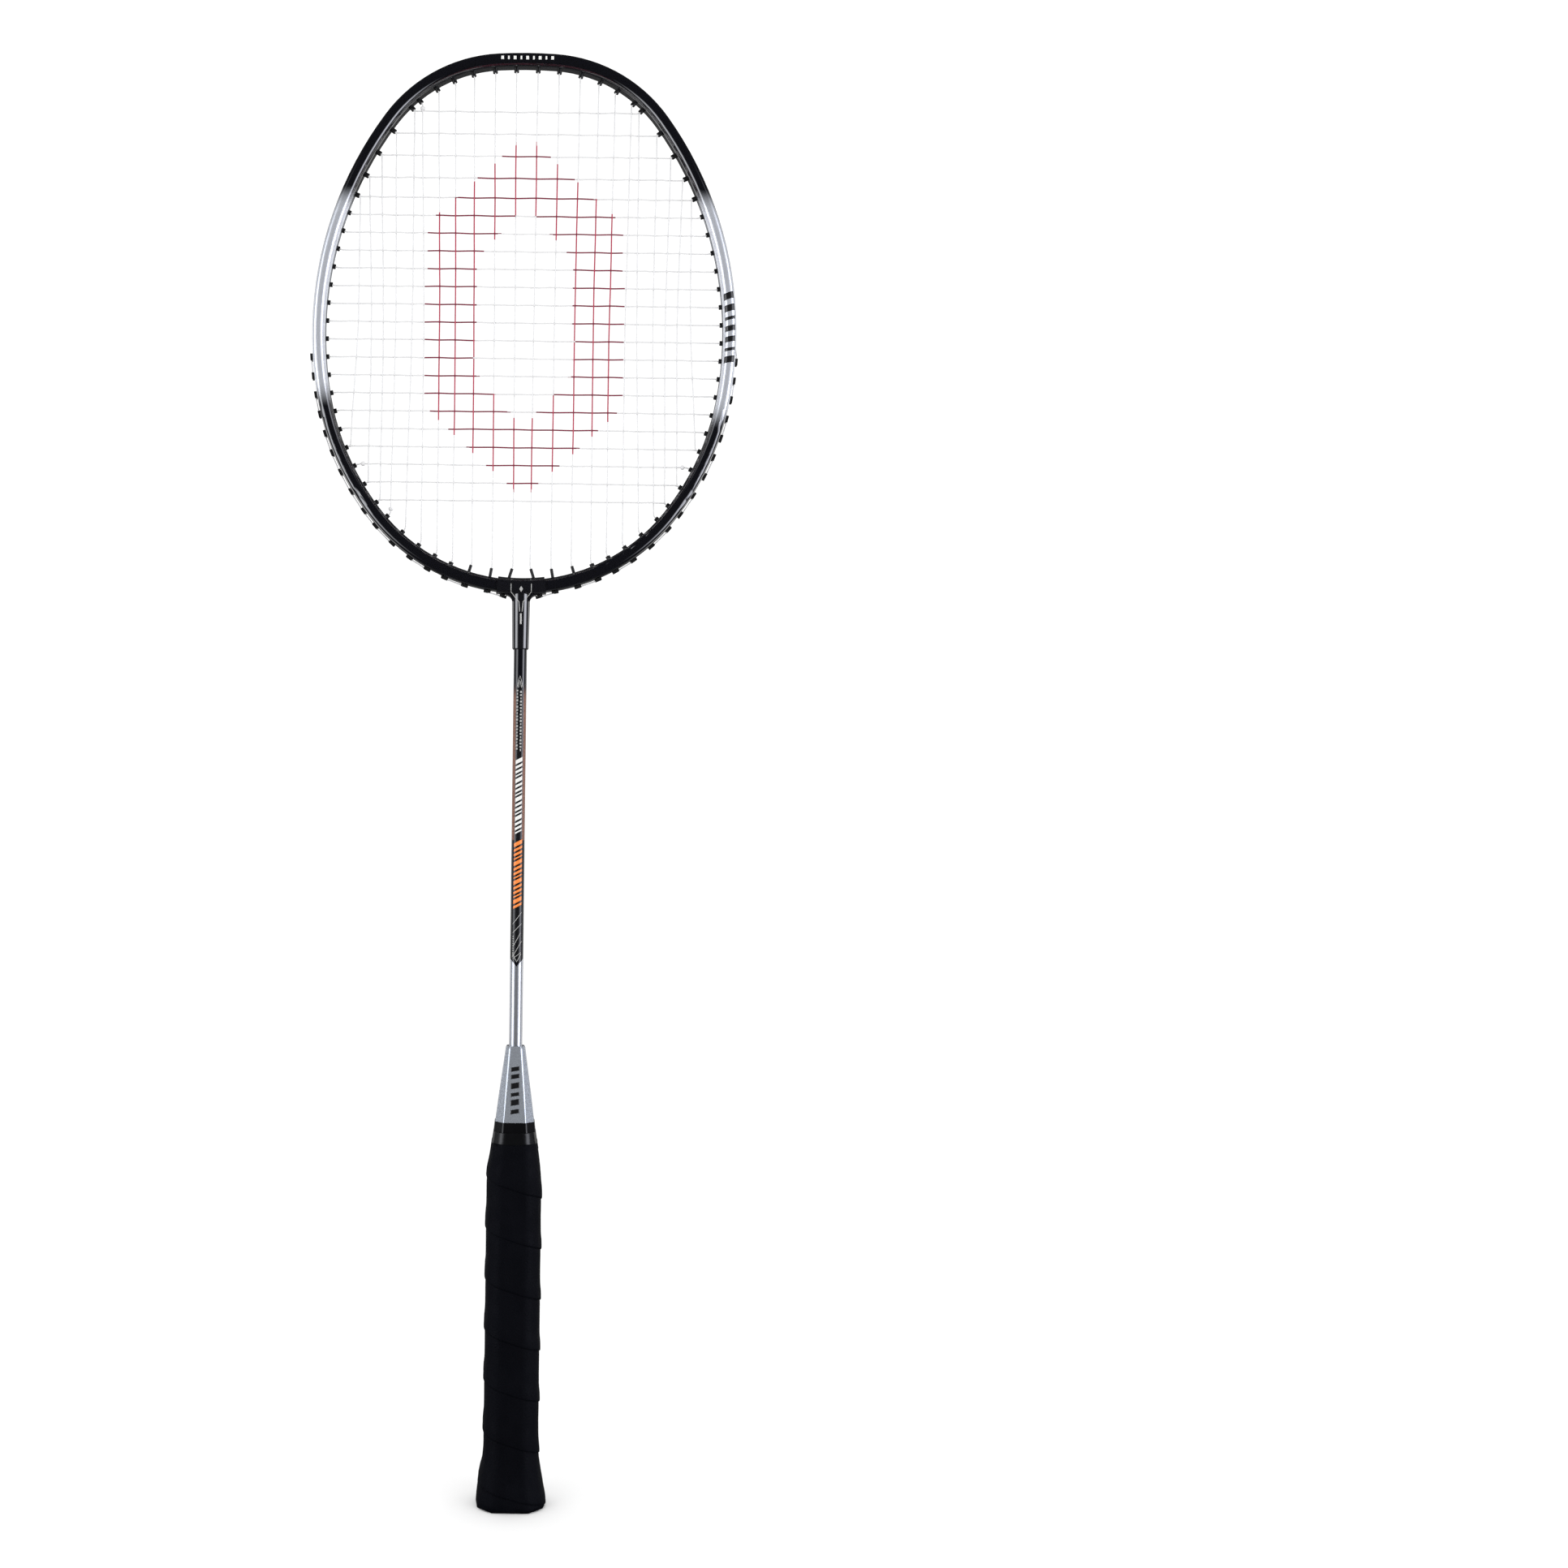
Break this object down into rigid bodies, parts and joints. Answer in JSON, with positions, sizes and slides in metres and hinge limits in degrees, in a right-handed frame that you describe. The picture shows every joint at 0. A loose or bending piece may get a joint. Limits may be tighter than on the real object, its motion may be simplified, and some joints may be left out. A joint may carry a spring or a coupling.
{
  "type": "badminton racket",
  "caption": "Strung badminton racket with an isometric head, slim shaft, silver cone and octagonal wrapped handle that flares at the butt.",
  "frame": {"origin": "centre of the butt's end face, where the racket rests when it stands upright", "axes": "+Z along the shaft from the butt to the head's crown; the string bed lies in the XZ plane, so +Y is square to the strings and points away from the viewer of the front face"},
  "size_m": [0.199, 0.0278, 0.675],
  "materials": {
    "frame_paint": "gloss black lacquer on carbon composite, pearl silver on both sides of the head",
    "t_joint_paint": "gloss black lacquer with a fine white line drawing",
    "shaft_paint": "gloss lacquer: black, copper, orange blocks, then silver grey",
    "cone_paint": "metallic silver paint",
    "collar_plastic": "gloss black",
    "core_wood": "bare light softwood",
    "cap_plastic": "moulded, satin",
    "grip_polymer": "matt, slightly tacky polyurethane wrap",
    "tape": "satin tape",
    "string_nylon": "white braided nylon, stencilled crimson in the middle of the string bed",
    "grommet_nylon": "moulded nylon"
  },
  "bodies": {
    "root": {"head_frame": "frame_paint", "t_joint": "t_joint_paint", "shaft": "shaft_paint", "cone_cap": "cone_paint", "cone_collar": "collar_plastic", "handle_core": "core_wood", "butt_cap": "cap_plastic", "grip_wrap": "grip_polymer", "finishing_tape": "tape", "main_string": "string_nylon", "cross_string": "string_nylon", "tie_off_knots": "string_nylon", "crown_grommet_strip": "grommet_nylon", "shoulder_grommet_strip_left": "grommet_nylon", "side_grommet_strip_left": "grommet_nylon", "flank_grommets_left": "grommet_nylon", "corner_grommets_left": "grommet_nylon", "bottom_grommets_left": "grommet_nylon", "throat_grommets_left": "grommet_nylon", "shoulder_grommet_strip_right": "grommet_nylon", "side_grommet_strip_right": "grommet_nylon", "flank_grommets_right": "grommet_nylon", "corner_grommets_right": "grommet_nylon", "bottom_grommets_right": "grommet_nylon", "throat_grommets_right": "grommet_nylon"}
  },
  "joints": []
}
